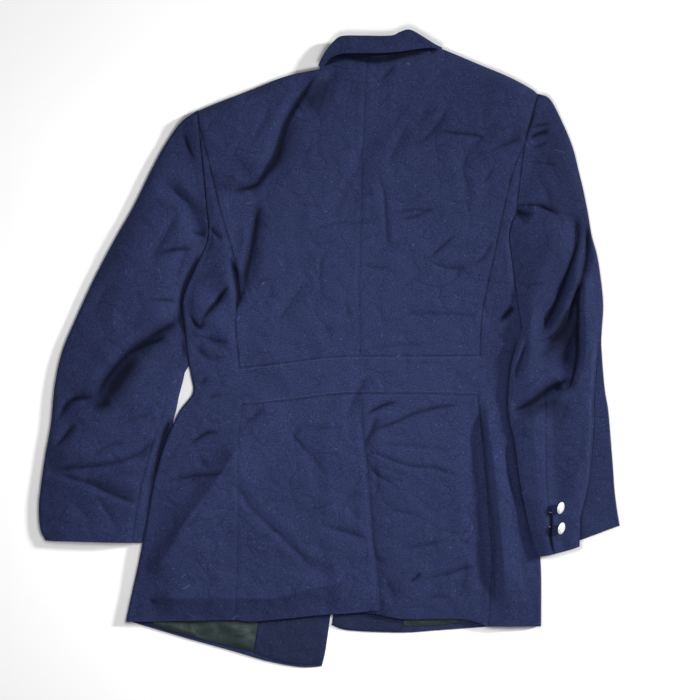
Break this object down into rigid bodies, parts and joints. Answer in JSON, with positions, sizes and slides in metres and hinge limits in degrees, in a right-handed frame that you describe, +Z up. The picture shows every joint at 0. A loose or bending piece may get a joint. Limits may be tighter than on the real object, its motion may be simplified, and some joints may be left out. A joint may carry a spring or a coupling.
{
  "type": "uniform dress jacket",
  "caption": "Navy wool uniform dress jacket lying flat and face down, back up, with an inset waistband, centre vent, two-piece sleeves and silver cuff buttons.",
  "frame": {"origin": "centre of the footprint, on the surface that the jacket lies on", "axes": "+Z up, away from the surface; +Y from the hem to the collar; +X to the side that is the wearer's right"},
  "size_m": [0.7734, 0.8478, 0.0306],
  "materials": {
    "navy_wool": "matt tightly woven wool",
    "navy_facing": "matt tightly woven wool",
    "green_lining": "smooth lining",
    "silver_button": "polished silver colour"
  },
  "bodies": {
    "root": {"back_left": "navy_wool", "back_right": "navy_wool", "waistband": "navy_wool", "skirt_left": "navy_wool", "skirt_right": "navy_wool", "side_left": "navy_wool", "side_right": "navy_wool", "front_left": "navy_wool", "front_right": "navy_wool", "lapel_left": "navy_facing", "lapel_right": "navy_facing", "collar_leaf_left": "navy_facing", "collar_leaf_right": "navy_facing", "collar_fall": "navy_wool", "collar_stand": "navy_wool", "facing_left": "navy_facing", "facing_right": "navy_facing", "lining_left": "green_lining", "lining_right": "green_lining", "top_sleeve_left": "navy_wool", "under_sleeve_left": "navy_wool", "top_sleeve_right": "navy_wool", "under_sleeve_right": "navy_wool", "cuff_button_upper": "silver_button", "cuff_button_lower": "silver_button"}
  },
  "joints": []
}
